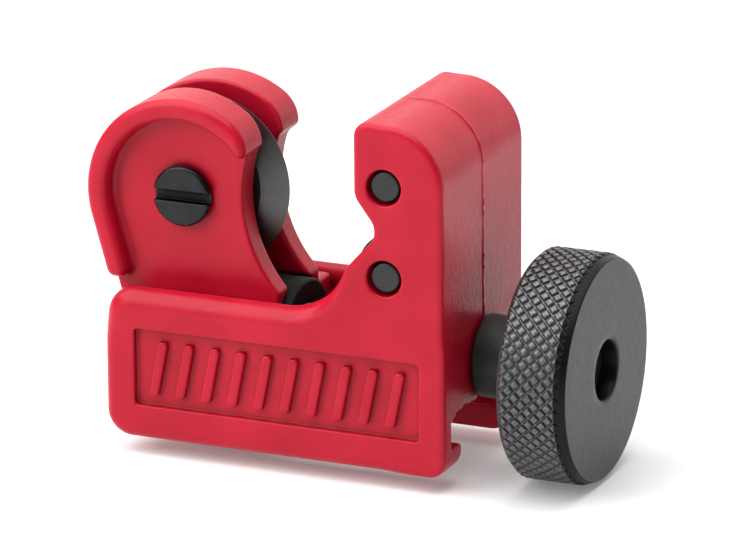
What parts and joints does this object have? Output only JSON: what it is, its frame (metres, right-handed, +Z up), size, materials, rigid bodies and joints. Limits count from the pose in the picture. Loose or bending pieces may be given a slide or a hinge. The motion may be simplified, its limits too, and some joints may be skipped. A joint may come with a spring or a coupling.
{
  "type": "pipe cutter",
  "caption": "Compact screw-feed pipe cutter: a U-shaped body with guide rollers, a sliding arm with a cutting wheel, and a knurled feed knob.",
  "frame": {"origin": "centre of the tool's bounding box across X and Y, at the height of its lowest point, the bottom of the knob's rim", "axes": "+X along the tool from the cutter arm to the knob, parallel to the feed screw; +Y across the tool, parallel to the roller pins and the wheel's axle; +Z up"},
  "size_m": [0.051, 0.0222, 0.0357],
  "materials": {
    "red_casting": "glossy red lacquer on a die casting",
    "black_steel": "black oxide",
    "roller_steel": "ground and blackened",
    "plain_steel": "plain steel"
  },
  "bodies": {
    "body": {"body_casting": "red_casting", "roller_pin_lower": "black_steel", "roller_pin_upper": "black_steel", "thrust_washer": "plain_steel"},
    "arm": {"arm_casting": "red_casting", "feed_nut": "black_steel", "axle_screw": "black_steel"},
    "wheel": {"cutting_wheel": "black_steel"},
    "lower_roller": {"roller_lower": "roller_steel"},
    "upper_roller": {"roller_upper": "roller_steel"},
    "feed": {"knob": "black_steel", "feed_screw": "black_steel", "collar": "black_steel", "retaining_ring": "plain_steel"}
  },
  "joints": [
    {"name": "knob_turn", "type": "hinge", "parent": "body", "child": "feed", "pos_m": [0.01857, 0, 0.01106], "axis": [1, 0, 0], "range_deg": [-3782, 1802]},
    {"name": "arm_slide", "type": "slide", "parent": "body", "child": "arm", "axis": [1, 0, 0], "range_m": [-0.005, 0.0105]},
    {"name": "wheel_spin", "type": "hinge", "parent": "arm", "child": "wheel", "pos_m": [-0.01578, 0, 0.02496], "axis": [0, 1, 0], "continuous": true},
    {"name": "lower_roller_spin", "type": "hinge", "parent": "body", "child": "lower_roller", "pos_m": [0.00697, 0, 0.02068], "axis": [0, 1, 0], "continuous": true},
    {"name": "upper_roller_spin", "type": "hinge", "parent": "body", "child": "upper_roller", "pos_m": [0.00697, 0, 0.02951], "axis": [0, 1, 0], "continuous": true}
  ],
  "couplings": [
    {"joint": "knob_turn", "follows": "arm_slide", "rad_per_m": -6283.2}
  ]
}
